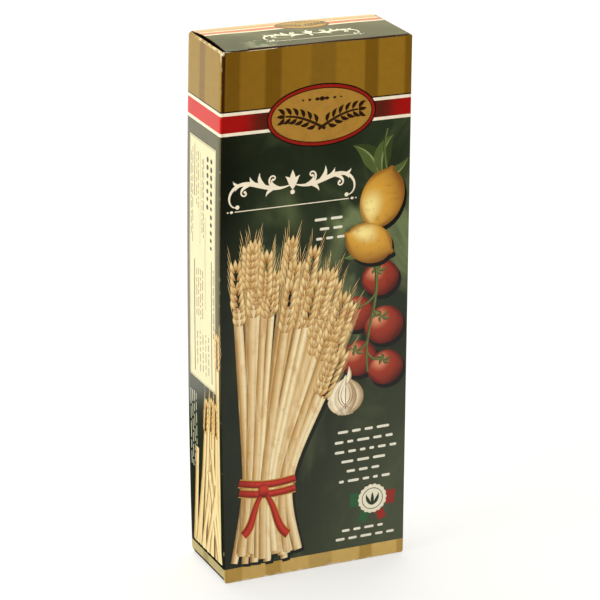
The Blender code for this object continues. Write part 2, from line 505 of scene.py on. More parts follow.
def worn(paint, colour, place, s, down, height):
    """The print as handling leaves it: rubbed in specks along the folds and the foot, and bare at
    the front left corner, down the top of its fold, and along the left side's top fold."""
    near = (s - FOLDS[0]).size()
    for fold in FOLDS[1:]:
        near = near.least((s - fold).size())
    rub, crumb = paint.noise(place, 320.0, 4.0), paint.noise(place, 900.0, 3.0)
    along_folds = (1 - near.ramp(0.2, 0.7)) * rub.ramp(0.58, 0.72) * 0.22
    along_foot = (1 - height.ramp(0.0016, 0.005)) * rub.ramp(0.46, 0.62) * 0.6
    corner = (1 - (s + 0.1).size().ramp(0.7, 1.9)) * (1 - down.ramp(0.9, 1.9)) * crumb.ramp(0.28, 0.40)
    fold_top = (1 - (s + 0.55).size().ramp(0.1, 0.45)) * (1 - down.ramp(2.0, 6.5)) * crumb.ramp(0.34, 0.50)
    side_top = (1 - down.ramp(0.5, 1.1)) * (s < -0.4) * crumb.ramp(0.38, 0.66) * s.ramp(-44, -6) * 0.8
    rubbed, bare = along_folds.most(along_foot), corner.most(fold_top).most(side_top)
    return paint.over(colour, (RUBBED, rubbed), (BARE, bare))


def blank_finish():
    """The print by its place on the blank: gold stripes above and below, the rings, and green. Over it
    lies painted shade: the golds darker towards the front's left end, and a dark line down the front
    beside its left fold. The left side's red is painted glare, brighter than elsewhere.
    """
    paint = Paint("printed_board")
    share, height = paint.chart()
    place = paint.object_place()
    s = share * BLANK_LENGTH + S_START
    down = HEIGHT - height * HEIGHT
    page = s + (s < -DEPTH) * (DEPTH + PANEL_BACK)
    ragged = share + (paint.noise(place, 2400.0) - 0.5) * 0.0012
    # Painted shade: the header and footer golds darker towards the front's left end.
    header_painted_shade = (1 - page.ramp(-12, 62)) * (s > 0) * 0.35
    footer_painted_shade = (1 - page.ramp(-6, 50)) * (s > 0) * 0.4
    header = paint.over(stripes(paint, HEADER_GOLDS, ragged), (GOLD_PAINTED_SHADE, header_painted_shade))
    footer = paint.over(stripes(paint, FOOTER_GOLDS, ragged), (FOOTER_GOLDS["dark"], footer_painted_shade))
    shadow = page.ramp(9, 19) * (1 - page.ramp(74, 84)) * (s > -DEPTH)
    # The left side's red is painted glare.
    red = paint.over(RED, (RED_DEEP, shadow), (RED_LEFT_GLARE, s.between(-DEPTH, 0.4) * 0.9))
    # Painted shade: a dark line down the front beside its left fold, strongest in the gold.
    fold_shade = 1 - (s - 1.0).size().ramp(0.5, 1.1)
    colour = paint.over(
        green_field(paint, place, s, page, down),
        (header, down < HEADER_END),
        (footer, down > FOOTER_START),
        (LINE_DARK, down.between(HEADER_END - 0.5, HEADER_END + 0.1)),
        (red, down.between(*RED_RING)),
        *((WHITE, down.between(*ring)) for ring in WHITE_RINGS),
        (FOLD_SHADE, fold_shade * (0.12 + 0.76 * (down < HEADER_END))))
    return coated(paint, worn(paint, colour, place, s, down, height))


def fibres_of(paint):
    """The streaks of cut card."""
    return paint.noise(paint.stretched(paint.object_place(), (900, 900, 2600)), 1.0, 3.0)


def bare_finish(name):
    """Cut and unprinted board: pale, matt and fibrous."""
    paint = Paint(name, 0.7, 0.0)
    fibres = fibres_of(paint)
    tone = paint.mix(srgb(236, 226, 204), srgb(176, 160, 128), fibres.ramp(0.35, 0.75) * 0.6)
    return paint.finish(tone, None, fibres, FIBRE_RELIEF)


def shaded_scuffed_edge(name, tint, scuffs=()):
    """A cut edge tinted dark as painted shade, for its shadow and the gaps beside it, and pale
    where the card is freshly scuffed.
    Each scuff is its middle and half its length along x."""
    paint = Paint(name, 0.7, 0.0)
    x = paint.parts(paint.object_place())[0] / METRES - LEFT
    fibres = fibres_of(paint)
    fresh = fibres.ramp(0.60, 0.72) * 0.35
    for middle, half in scuffs:
        fresh = fresh + (1 - (x - middle).size().ramp(half - 1.5, half + 1.5))
    # The dark tint is painted shade.
    return paint.finish(paint.mix(tint, srgb(246, 236, 212), fresh.least(1.0)), None, fibres, FIBRE_RELIEF)


def flap_finish():
    """A dust flap: worn pale along its fold, and under the lid a near black that is painted shade, for
    the shadow in the gap.
    """
    paint = Paint("flap_print_and_painted_shade")
    across, run = paint.chart()
    run = run * (BEND + DUST_FLAP)
    crumb = paint.noise(paint.object_place(), 700.0, 3.0)
    pale = (1 - run.ramp(0.7, 1.5)) * crumb.ramp(0.36, 0.60) * (1 - across.ramp(0.45, 1.15)) * 0.85
    outside = 1 - run.ramp(0.9, 1.3)
    # The near black is painted shade under the lid.
    colour = paint.over(srgb(26, 18, 10), (HEADER_GOLDS["light"], outside), (srgb(240, 222, 182), pale))
    return coated(paint, colour)


def lid_finish():
    """The lid's print by its place: gold along the back, a red band in white lines, then green, and a
    dark fold at the front, which is painted shade for the shadowed gap there. The gold, paler still
    towards the back fold, and the red are paler than the panels' inks: a painted sheen for the glare
    on the top. The bands slant a little, as print off its register does."""
    paint = Paint("lid_print_and_painted_light")
    across, run = paint.chart()
    depth = run * (DEPTH + TUCK_LENGTH)
    down = depth - (1 - across) * 1.8
    place = paint.object_place()
    wisp = paint.noise(paint.stretched(place, (40, 80, 40)), 1.0, 3.0, 2.0).ramp(0.44, 0.66)
    wisp = wisp * across.ramp(0.10, 0.24) * (1 - across.ramp(0.42, 0.60)) * 0.6
    clouds = paint.noise(place, 40.0, 3.0).ramp(0.3, 0.7)
    green = paint.over(GREEN_DEEP, (GREEN_SOFT, clouds), (srgb(150, 160, 130), wisp))
    # Painted shade: the front fold dark and matt, for the shadowed gap behind the front panel.
    fold = (depth > DEPTH - 1.4) * (across > TUCK_LEFT / WIDTH)
    colour = paint.over(
        # Painted sheen: this gold, the pale strip by the back fold, and the red band below are paler than the
        # panels' inks, for the glare on the top.
        srgb(204, 162, 112),
        (srgb(244, 228, 196), (1 - depth.ramp(0.5, 5.0)) * 0.6),
        (green, down > LID_RING[1]),
        (LINE_DARK, down.between(LID_RING[0] - 0.4, LID_RING[0]) * 0.6),
        (WHITE, down.between(*LID_RING)),
        (srgb(204, 104, 84), down.between(LID_RING[0] + 1.3, LID_RING[1] - 1.5)),
        (srgb(62, 34, 4), fold))
    return coated(paint, colour, matt=fold * 0.45)


# ================================================================== board pieces

def near_folds(folds, radius, start, end, step, bends=6):
    """Places from start to end about a step apart, closer together round each fold."""
    places = [np.arange(start, end, step), [end]]
    places += [np.linspace(fold - radius, fold + radius, bends) for fold in folds]
    places = np.unique(np.concatenate(places).round(4))
    inside = np.abs(places[:, None] - np.asarray(folds)).min(1) < radius * 0.999
    arcs = np.concatenate([np.linspace(fold - radius, fold + radius, bends).round(4) for fold in folds])
    return places[~inside | np.isin(places, arcs)]


def sleeve():
    """The four panels and the glue flap in one strip. Its top and bottom lines are level, with a
    step between the front's cut edge and the folds of the other panels. The front's top edge dips
    a little by a cosine, as a handled edge does."""
    s = near_folds(FOLDS, FOLD, S_START, S_END, 3.6)
    front_share = np.interp(s, [-FOLD, FOLD, WIDTH - FOLD, WIDTH + FOLD], [0, 1, 1, 0])
    side_folds = [-DEPTH - FOLD, -DEPTH + FOLD, -FOLD, FOLD, WIDTH - FOLD, WIDTH + FOLD]
    side_share = np.interp(s, side_folds, [0, 1, 1, 0, 0, 1])
    dip = 0.12 + 0.20 * np.cos((s - 72) / 9)
    top = HEIGHT - FOLD + (FOLD - 0.1 - dip) * front_share
    bottom = np.where(side_share > 0, FOLD + (FOOT_STEP - 0.1) * side_share, FOLD)
    bottom = bottom * (1 - front_share) + 0.08 * front_share
    z = bottom + (top - bottom) * np.linspace(0, 1, 64)[:, None]
    chart = np.stack(np.broadcast_arrays((s - S_START) / BLANK_LENGTH, z / HEIGHT), -1)
    patch = Patch(on_blank(np.broadcast_to(s, z.shape), z), chart)
    # A dark edge of painted shade, pale at two scuffs.
    edge = shaded_scuffed_edge("sleeve_edge", srgb(50, 32, 14), ((1.5, 2.0), (18.5, 6.5)))
    return make_piece("sleeve", [patch], [blank_finish(), edge], BOARD, rim=1)


def closing_path(run, is_open):
    """Where the lid goes from its hinge, as distance from the back and height above the folds:
    a quarter circle up, level to the front, and either on to the edge or down behind the panel."""
    turn = np.clip(run / FOLD, 0, np.pi / 2)
    depth = FOLD * (1 - np.cos(turn)) + np.clip(run - BEND, 0, LEVEL)
    height = FOLD * (np.sin(turn) - 1)
    left_over = np.clip(run - BEND - LEVEL, 0, None)
    if is_open:
        return depth + np.minimum(left_over, BOARD + TUCK_GAP + TUCK_FOLD - 0.05), height
    turn = np.clip(left_over / TUCK_FOLD, 0, np.pi / 2)
    depth = depth + TUCK_FOLD * np.sin(turn)
    drop = TUCK_FOLD * (1 - np.cos(turn)) + np.clip(left_over - TUCK_FOLD * np.pi / 2, 0, None)
    return depth, height - drop


def closure(name, top, finish):
    """The lid, or the bottom as its flat mirror image: three strips side by side, of which the
    middle one tucks in behind the front panel and the outer ones lie on to its edge."""
    level_end = BEND + LEVEL
    tuck_start = level_end + TUCK_FOLD * np.pi / 2
    shared = np.concatenate([np.linspace(0, BEND, 7), np.linspace(BEND, level_end, 26)[1:]])
    shoulder = level_end + np.array([0.3, 0.6, 0.95, 1.3])
    tuck = np.concatenate([np.linspace(level_end, tuck_start, 6)[1:],
                           tuck_start + np.array([2.0, 6.0, TUCK_LENGTH])])
    strips = ((0.0, TUCK_LEFT, 8, shoulder, True), (TUCK_LEFT, TUCK_RIGHT, 30, tuck, False),
              (TUCK_RIGHT, WIDTH, 6, shoulder, True))
    patches = []
    for start, end, columns, rest, is_open in strips:
        run = np.concatenate([shared, rest])[:, None]
        depth, height = closing_path(run, is_open)
        low, high = start + 0 * run, end
        if start == 0:
            widening = (LID_INSET_LEFT - LID_INSET_BACK) * np.clip(depth / 12, 0, 1)
            low = LID_INSET_BACK + widening if top else low + BOTTOM_INSET
        if end == WIDTH:
            high = WIDTH - LID_INSET_RIGHT
        x = LEFT + low + (high - low) * np.linspace(0, 1, columns)
        y = BACK - depth + 0 * x
        z = HEIGHT + height + lid_rise(x, y) + lid_slack(x, y) if top else BOTTOM_LIFT - height + 0 * x
        chart = np.stack(np.broadcast_arrays((x - LEFT) / WIDTH, run / (DEPTH + TUCK_LENGTH)), -1)
        patches.append(Patch(racked(np.stack([x, y, z], -1)), chart))
    # A dark edge of painted shade.
    edge = shaded_scuffed_edge(name + "_edge", srgb(60, 38, 20))
    outward = upward if top else downward
    return make_piece(name, patches, [finish, edge], BOARD, outward, rim=1)


def dust_flap(name, side, top, finish):
    """A side panel's flap: a quarter circle over the fold, then a drop that dies out exponentially
    on a steady slope inward. side is -1 on the left and 1 on the right. At the bottom it is turned
    over."""
    beyond_fold = np.array([0.3, 0.8, 1.6, 3, 5, 8, 12, 17, DUST_FLAP])
    run = np.concatenate([np.linspace(0, BEND, 7), BEND + beyond_fold])[:, None]
    turn, beyond = np.clip(run / FOLD, 0, np.pi / 2), np.clip(run - BEND, 0, None)
    inward = FOLD * (1 - np.cos(turn)) + beyond
    sunk = FLAP_SINK * (1 - np.exp(-beyond / FLAP_SINK_REACH)) + FLAP_SLOPE * beyond
    height = FOLD * (np.sin(turn) - 1) - sunk
    margin = FLAP_MARGIN + FLAP_TAPER * beyond
    share = np.linspace(0, 1, 14)
    y = FRONT + margin + (DEPTH - BOARD - 2 * margin) * share
    x = (LEFT + inward if side < 0 else RIGHT - inward) + 0 * share
    z = (HEIGHT + height if top else FOOT_STEP - height + 0.1) + 0 * share
    chart = np.stack(np.broadcast_arrays(share, run / run.max()), -1)
    patch = Patch(racked(np.stack([x, y, z], -1)), chart)
    edge = bare_finish(name + "_edge")
    outward = upward if top else downward
    return make_piece(name, [patch], [finish, edge], BOARD, outward, rim=1)


# ================================================================== ink shapes, flat

def ribbon(path, half, columns=3):
    """A strip along a line of points, with its half width at each."""
    along = np.gradient(path, axis=0)
    along /= np.linalg.norm(along, axis=1, keepdims=True)
    across = np.stack([-along[:, 1], along[:, 0]], 1)
    share = np.linspace(-1, 1, columns)
    half = np.broadcast_to(half, len(path))
    return path[:, None] + across[:, None] * (half[:, None] * share)[..., None]


def along_page(turn):
    """A step of 1 on a page, to the right where turn is 0 and down where it is a quarter turn."""
    return np.array([np.cos(turn), np.sin(turn)])


def up_page(turn):
    """A step of 1 up a page, leaning to the right by the turn."""
    return np.array([np.sin(turn), -np.cos(turn)])


def line(start, end, count):
    return np.asarray(start, float) + np.linspace(0, 1, count)[:, None] * (np.asarray(end, float) - start)


def round_ends(path, half):
    """A half width that falls to nothing as a circle does at both ends of the line."""
    step = np.linalg.norm(np.diff(path, axis=0), axis=1)
    run = np.concatenate([[0], np.cumsum(step)])
    reach = np.minimum(np.minimum(run, run[-1] - run) / half, 1)
    return half * np.sqrt(np.clip(1 - (1 - reach) ** 2, 0.0004, 1))


def bar(start, end, half):
    """A short bar with round ends, and most of its points at the ends."""
    span = np.asarray(end, float) - start
    length = np.linalg.norm(span)
    cap = np.clip(half / length, 0, 0.5)
    turn = np.linspace(0, np.pi, 17)[:, None]
    share = np.where(turn < np.pi / 2, (1 - np.cos(turn)) * 0.5, 1 - (1 + np.cos(turn)) * 0.5)
    place = np.where(share < 0.5, share * 2 * cap, 1 - (1 - share) * 2 * cap)
    path = start + place * span
    return ribbon(path, round_ends(path, half))


def leaf(start, end, half, bend=0.0, count=11):
    """A pointed leaf: its line bows to one side by a parabola and its width swells by a sine."""
    start, span = np.asarray(start, float), np.asarray(end, float) - start
    t = np.linspace(0, 1, count)
    side = np.array([-span[1], span[0]]) * bend
    path = start + t[:, None] * span + (4 * t * (1 - t))[:, None] * side
    return ribbon(path, half * np.clip(np.sin(np.pi * t ** 0.85), 0.02, 1), 5)


def disc(centre, radii, count=13):
    """A filled oval: a square grid pressed to a circle, so that it has no middle pole."""
    a, b = np.meshgrid(np.linspace(-1, 1, count), np.linspace(-1, 1, count), indexing="ij")
    flat = np.stack([a * np.sqrt(1 - b * b / 2), b * np.sqrt(1 - a * a / 2)], -1)
    return np.asarray(centre) + flat * radii


def oval_ring(centre, radii, half, lobes=0, depth=0.0, count=73):
    """A ring along an oval, with lobes in its radius by a cosine."""
    turn = np.linspace(0, 2 * np.pi, count)
    radius = 1 + depth * np.cos(lobes * turn)
    unit = np.stack([np.cos(turn), np.sin(turn)], 1)
    share = np.linspace(-1, 1, 3)[:, None]
    reach = (np.asarray(radii) * radius[:, None])[None] + (half * share)[..., None]
    ring = np.asarray(centre) + unit[None] * reach
    ring[:, -1] = ring[:, 0]
    return ring


def scroll(start, heading, curls, length, count):
    """A line whose heading changes by one turn steadily and by another with the cube of its run."""
    t = np.linspace(0, 1, count)
    angle = heading + curls[0] * t + curls[1] * t ** 3
    step = np.stack([np.cos(angle), np.sin(angle)], 1) * length / (count - 1)
    return np.asarray(start, float) + np.cumsum(step, 0) - step[0]


def swelling(count, half, peak):
    """A half width that grows along a line to its peak, falls again and ends thin: a sine of the
    run, drawn towards the peak by a power."""
    t = np.linspace(0, 1, count)
    return half * (0.18 + 0.82 * np.sin(np.pi * t ** (np.log(0.5) / np.log(peak))) ** 1.2)


def mirrored(flat, x):
    flat = flat.copy()
    flat[..., 0] = 2 * x - flat[..., 0]
    return flat


class Sheet:
    """Shapes of one ink on one page. Each lies a hair above the one before it, and has a row of
    the piece's map to itself: its first way along the row and its second across it."""

    def __init__(self, page, lift, rise=0.0005):
        self.page, self.lift, self.rise, self.shapes = page, lift, rise, []

    def add(self, *flats):
        self.shapes += flats

    def lay(self, name, make_finish, slot):
        rows = len(self.shapes)
        patches = []
        for i, flat in enumerate(self.shapes):
            along = np.linspace(0, 1, flat.shape[0])[:, None]
            across = (i + np.linspace(0.02, 0.98, flat.shape[1])) / rows
            place = self.page(flat, self.lift + self.rise * i)
            patches.append(Patch(place, np.stack(np.broadcast_arrays(along, across), -1)))
        outward = upward if self.page is lid_page else from_blank
        return make_piece(name, patches, [make_finish("ink_" + name, rows)], INK_FILM, outward)


def in_ink(colour, mottle=0.10):
    return lambda name, rows: ink(name, colour, mottle)


# ================================================================== finishes of the pictures

def rows_of(paint, rows):
    """Where a place lies on its own shape: along it, across it, and the shape's own chance number."""
    along, row = paint.chart()
    row = row * rows
    chance = paint.node("ShaderNodeTexWhiteNoise", {"noise_dimensions": "1D"}, {"W": row.floor() + 0.37})
    return along, row.maths("FRACT", row), chance


STRAW_TONES = ((0.0, srgb(124, 92, 48)), (0.14, srgb(150, 112, 60)), (0.42, srgb(230, 194, 132)),
               (0.74, srgb(255, 244, 206)), (1.0, srgb(236, 206, 150)))


def straw_finish(paler=0.0):
    """A straw lit from the left: pale on that side, browner on the other, each of its own tone, with
    toasted stretches. paler is the share of cream over all but its dark edge."""
    def make(name, rows):
        paint = Paint(name)
        _, across, chance = rows_of(paint, rows)
        place = paint.object_place()
        streak = paint.noise(paint.stretched(place, (700, 700, 60)), 1.0, 3.0)
        toast = paint.noise(paint.stretched(place, (190, 190, 110)), 1.0, 3.0)
        fleck = paint.noise(place, 620.0, 2.0)
        tone = paint.over(
            paint.node("ShaderNodeValToRGB", {"stops": STRAW_TONES}, {0: across}),
            (srgb(204, 158, 92), chance * 0.6),
            (srgb(255, 240, 204), streak.ramp(0.5, 0.75) * 0.35),
            (srgb(196, 142, 74), toast.ramp(0.52, 0.78) * 0.55),
            (srgb(150, 96, 40), fleck.ramp(0.62, 0.74) * 0.22),
            (srgb(250, 232, 178), across.ramp(0.12, 0.45) * paler))
        return coated(paint, tone, 0.06)

    return make


def grain_finish(name, rows):
    """A wheat grain or an awn: golden, darker at its foot and its sides."""
    paint = Paint(name)
    along, across, chance = rows_of(paint, rows)
    tone = paint.over(
        srgb(172, 118, 54),
        (srgb(255, 228, 166), along.ramp(0.0, 0.7)),
        (srgb(206, 152, 78), chance * 0.5),
        (srgb(112, 70, 26), (across - 0.5).size().ramp(0.22, 0.5) * 0.6))
    return coated(paint, tone, 0.06)


def folded_finish(light, base, shade):
    """A rounded strip lit from the upper left: light left of its middle line, shaded at its right,
    and a little deeper towards its foot."""
    def make(name, rows):
        paint = Paint(name)
        along, across, _ = rows_of(paint, rows)
        thread = paint.noise(paint.stretched(paint.object_place(), (500, 500, 160)), 1.0, 3.0)
        tone = paint.over(
            base,
            (light, across.ramp(0.0, 0.34) * (1 - across.ramp(0.40, 0.86))),
            (shade, across.ramp(0.66, 1.0) * 0.8),
            (shade, (1 - along.ramp(0.0, 0.30)) * 0.45),
            (shade, thread.ramp(0.50, 0.75) * 0.3))
        return coated(paint, tone, 0.05)

    return make


def round_finish(base, light, shade):
    """A round fruit: a highlight high on its left, and a shaded edge low on its right."""
    def make(name, rows):
        paint = Paint(name)
        x, y, _ = rows_of(paint, rows)
        glow, rim = (((x - u) * (x - u) + (y - v) * (y - v)) ** 0.5 for u, v in ((0.34, 0.30), (0.5, 0.5)))
        fleck = paint.noise(paint.object_place(), 420.0, 3.0)
        tone = paint.over(
            light,
            (base, glow.ramp(0.02, 0.34)),
            (shade, glow.ramp(0.30, 0.85)),
            (shade, rim.ramp(0.40, 0.52) * 0.6),
            (shade, fleck.ramp(0.55, 0.75) * 0.30))
        return coated(paint, tone, 0.05)

    return make


def leaf_finish(light, shade):
    """A leaf: a pale midrib, and one half darker than the other."""
    def make(name, rows):
        paint = Paint(name)
        _, across, chance = rows_of(paint, rows)
        rib = 1 - (across - 0.5).size().ramp(0.02, 0.07)
        tone = paint.over(light, (shade, across.ramp(0.40, 0.60) * 0.8), (shade, chance * 0.35),
                          (srgb(176, 184, 118), rib * 0.5))
        return coated(paint, tone, 0.06)

    return make


# ================================================================== motifs

def ear(grains, awns, foot, turn, length, half):
    """An ear of wheat: grains in pairs up a middle line, one at its tip, and an awn from each."""
    foot, along = np.asarray(foot, float), up_page(turn)
    side = np.array([-along[1], along[0]])
    pairs = 6
    for k in range(pairs):
        middle = foot + along * length * k / (pairs + 0.6)
        for way in (-1, 1):
            tip = middle + along * length * 0.26 + side * way * half * (1.0 - 0.06 * k)
            grains.add(leaf(middle + side * way * 0.3, tip, half * 0.34, 0.12 * way))
            awns.add(leaf(tip - along * 0.6, tip + along * length * 0.34 + side * way * half * 0.55, 0.13))
    top = foot + along * length * 0.80
    grains.add(leaf(top, top + along * length * 0.24, half * 0.36))


def ear_on(grains, awns, path, length, half):
    """An ear on the end of a straw, in line with it."""
    tip = path[-1] - path[-4]
    ear(grains, awns, path[-1] + [0, 1.0], np.arctan2(tip[0], -tip[1]), length, half)


def lay_wheat(name, shade, straws, awns, grains, finish):
    """The sheets of a bunch of wheat, from the back to the front."""
    shade.lay(name + "_shade", in_ink(srgb(16, 18, 8)), "picture_ink")
    straws.lay(name + "_straws", finish, "picture_ink")
    awns.lay(name + "_awns", grain_finish, "picture_ink")
    grains.lay(name + "_grains", grain_finish, "picture_ink")


def sheaf(page, tag, tie, lift):
    """A tied wheat sheaf: straws that cross at the tie, spread in a fan above it and splay below.
    A straw's slope eases from the one to the other, as the log of 1 plus an exponential does."""
    shade, straws = Sheet(page, lift), Sheet(page, lift + 0.02, 0.0015)
    grains, awns = Sheet(page, lift + 0.075), Sheet(page, lift + 0.070)
    soft = 7.0
    spread = np.linspace(-1, 1, 34)
    for share in spread[DRAWS.permutation(len(spread))]:
        lean = np.radians(11 + 14 * share + DRAWS.uniform(-1.2, 2.0))
        splay = np.radians(-0.5 - 11 * share + DRAWS.uniform(-2.5, 2.0))
        rise = 82 - 20 * share - 10 * share * share + DRAWS.uniform(-15, 7)
        drop = min(36 * np.cos(splay) + DRAWS.uniform(-6, 0), PICTURE_END - tie[1])
        y = np.concatenate([np.linspace(drop, 0, 14)[:-1], -np.linspace(0, rise, 34)])
        above, below = (soft * np.log1p(np.exp(way * y / soft)) for way in (-1, 1))
        x = tie[0] + share * 10.5 + np.tan(lean) * above - np.tan(splay) * below - 5 * np.tan(lean - splay)
        path = np.stack([x, tie[1] + y], 1)
        half = np.full(len(y), DRAWS.uniform(1.55, 2.15))
        half[0] *= 0.94
        straws.add(ribbon(path, half, 7))
        shade.add(ribbon(path + [1.1, 1.5], half * 1.1))
        ear_on(grains, awns, path, DRAWS.uniform(19, 24), DRAWS.uniform(2.5, 3.1))
    lay_wheat(tag + "_sheaf", shade, straws, awns, grains, straw_finish())
    tie_band(page, tag, tie, lift + 0.085)


def spray(page, tag, lift):
    """A few cut ears of wheat on stout straws, that lean across the foot of a side panel. A stalk is
    its foot, its lean, its length and whether it has an ear."""
    shade, straws = Sheet(page, lift), Sheet(page, lift + 0.012, 0.0015)
    grains, awns = Sheet(page, lift + 0.04), Sheet(page, lift + 0.035)
    stalks = ((5.5, 0.10, 47, 0), (11.0, 0.16, 58, 1), (8.0, 0.24, 38, 0), (16.0, 0.13, 66, 0),
              (34.6, 0.01, 92, 1), (21.0, 0.10, 60, 1), (14.0, 0.30, 44, 0), (26.0, 0.05, 68, 0),
              (30.5, 0.04, 60, 1), (35.4, -0.16, 52, 0), (24.0, 0.22, 36, 0), (33.4, -0.24, 40, 0),
              (19.0, 0.36, 30, 0))
    t = np.linspace(0, 1, 24)
    for foot, lean, rise, has_ear in stalks:
        x = foot + np.tan(lean) * rise * t + 0.8 * np.sin(2.2 * t)
        path = np.stack([x, PICTURE_END - 0.8 - rise * t], 1)
        half = DRAWS.uniform(1.6, 2.1)
        straws.add(ribbon(path, half, 7))
        shade.add(ribbon(path + [0.8, 1.0], half * 1.15))
        if has_ear:
            ear_on(grains, awns, path, DRAWS.uniform(15, 18), 2.4)
    lay_wheat(tag + "_spray", shade, straws, awns, grains, straw_finish(0.5))


def tie_band(page, tag, tie, lift):
    """The ribbon round the sheaf: two turns of red with gold edges, a knot and two tails."""
    red, gold = Sheet(page, lift + 0.01), Sheet(page, lift)
    tie = np.asarray(tie, float)
    sag = np.stack([np.zeros(20), 1.6 * np.sin(np.linspace(0, np.pi, 20))], 1)
    for step in (-2.6, 2.0):
        path = line(tie + [-13.4, step - 1.2], tie + [13.2, step + 0.4], 20) + sag
        red.add(ribbon(path, 1.6))
        gold.add(ribbon(path, 2.05))
    for way, reach in ((-1, 1.0), (1, 1.15)):
        tail = scroll(tie + [-2, 2], np.pi / 2 - way * 0.75, (way * 1.3, -way * 1.5), 22 * reach, 24)
        red.add(ribbon(tail, np.linspace(0.9, 2.0, 24)))
        gold.add(ribbon(tail, np.linspace(1.3, 2.4, 24)))
    red.add(disc(tie + [-2, 1.2], (2.6, 3.1)))
    gold.lay(tag + "_tie_edge", in_ink(srgb(196, 150, 62)), "gold_ink")
    red.lay(tag + "_tie", folded_finish(srgb(196, 52, 34), srgb(158, 28, 18), srgb(92, 14, 10)), "red_ink")


def cartouche(page, tag, centre, radii):
    """An oval shield of gold with red and dark borders, and two crossed ears in it."""
    layers = (("outline", 1.0, srgb(30, 18, 8), "picture_ink"),
              ("border", 0.955, srgb(150, 28, 14), "red_ink"),
              ("inner_line", 0.865, srgb(34, 20, 8), "picture_ink"))
    for i, (part, share, colour, slot) in enumerate(layers):
        sheet = Sheet(page, ON_CARD + 0.012 * i)
        sheet.add(disc(centre, np.array(radii) - (1 - share) * radii[1], 25))
        sheet.lay(tag + "_cartouche_" + part, in_ink(colour), slot)
    field = Sheet(page, ON_CARD + 0.036)
    field.add(disc(centre, np.array(radii) - 0.165 * radii[1], 25))
    field.lay(tag + "_cartouche_field", in_ink(srgb(176, 130, 52), 0.2), "gold_ink")
    grains, awns = Sheet(page, ON_CARD + 0.05), Sheet(page, ON_CARD + 0.046)
    x, y, size = *centre, radii[1]
    for way in (-1, 1):
        stalk = np.stack([x + way * size * np.linspace(-0.12, 1.22, 20),
                          y + size * (0.44 - 0.50 * np.sin(np.linspace(0, 1.55, 20)))], 1)
        awns.add(ribbon(stalk, np.linspace(0.05, 0.03, 20) * size))
        for at in range(4, 20, 3):
            along = stalk[at] - stalk[at - 1]
            heading = np.arctan2(along[1], along[0])
            for turn in (-0.72, 0.72):
                unit = along_page(heading + turn)
                grains.add(leaf(stalk[at] + 0.05 * size * unit, stalk[at] + 0.37 * size * unit, 0.062 * size,
                                0.16 * np.sign(turn)))
        grains.add(leaf(stalk[-1], stalk[-1] + 0.30 * size * np.array([way * 1.0, -0.05]), 0.062 * size))
        for at, half in ((0.16, 0.05), (0.42, 0.036), (0.64, 0.026)):
            grains.add(disc((x + way * at * size, y - 0.52 * size), (half * size * 1.5, half * size), 7))
    grains.add(disc((x, y - 0.52 * size), (0.09 * size, 0.07 * size), 7))
    awns.lay(tag + "_cartouche_stalks", in_ink(srgb(52, 30, 10)), "picture_ink")
    grains.lay(tag + "_cartouche_ears", in_ink(srgb(44, 24, 8)), "picture_ink")


FLOURISH_LEAVES = ((8, -0.75, 0.24, 0.030, 0.24), (16, 0.70, 0.20, 0.028, -0.20),
                   (26, -0.80, 0.27, 0.036, 0.22), (36, -0.45, 0.22, 0.030, 0.18),
                   (44, 0.75, 0.20, 0.030, -0.22), (55, 0.55, 0.17, 0.026, -0.20),
                   (60, -0.80, 0.13, 0.022, 0.20))


def flourish(page, tag, centre, size, colour=WHITE):
    """A wide, low ornament: from a bud in the middle two long stems wave outward and curl at their
    ends, with leaves and short tendrils along them. Under it is a thin rule with dots. A leaf is
    where it starts on the stem, its turn from it, its length, its half width and its bend."""
    sheet, x, y = Sheet(page, ON_CARD), *centre
    for way in (0, 1):
        shapes = []
        stem = scroll((x + 0.05 * size, y + 0.05 * size), 0.30, (-2.3, 5.3), 1.24 * size, 96)
        stem[:, 1] = y + (stem[:, 1] - y) * 1.15
        shapes.append(ribbon(stem, swelling(96, 0.034 * size, 0.4)))
        headings = np.arctan2(*np.diff(stem, axis=0).T[::-1])
        for at, turn, reach, half, bend in FLOURISH_LEAVES:
            tip = stem[at] + reach * size * along_page(headings[at] + turn)
            shapes.append(leaf(stem[at], tip, half * size, bend))
        for at, turn, curls in ((20, -0.6, (-1.2, -4.6)), (50, 0.5, (1.0, 4.6))):
            tendril = scroll(stem[at], headings[at] + turn, curls, 0.34 * size, 40)
            shapes.append(ribbon(tendril, np.linspace(0.016, 0.010, 40) * size))
            shapes.append(disc(tendril[-1], (0.020 * size, 0.020 * size), 7))
        shapes.append(disc(stem[-1], (0.032 * size, 0.032 * size), 7))
        sheet.add(*(mirrored(shape, x) if way else shape for shape in shapes))
    for turn, reach, half in ((0, 0.30, 0.050), (0.5, 0.24, 0.040), (-0.5, 0.24, 0.040)):
        foot = np.array([x, y + 0.13 * size])
        tip = foot + reach * size * up_page(turn)
        sheet.add(leaf(foot, tip, half * size, -0.25 * turn))
    sheet.add(disc((x, y + 0.165 * size), (0.035 * size, 0.035 * size), 7))
    rule = y + 0.37 * size
    sheet.add(ribbon(line((x - 0.90 * size, rule), (x + 0.90 * size, rule), 24), 0.004 * size + 0.08))
    for way in (-1, 1):
        for at, half in ((0.95, 0.024), (1.01, 0.014)):
            sheet.add(disc((x + way * at * size, rule), (half * size, half * size * 0.8), 7))
    sheet.lay(tag + "_flourish", in_ink(colour, 0.06), "white_ink")


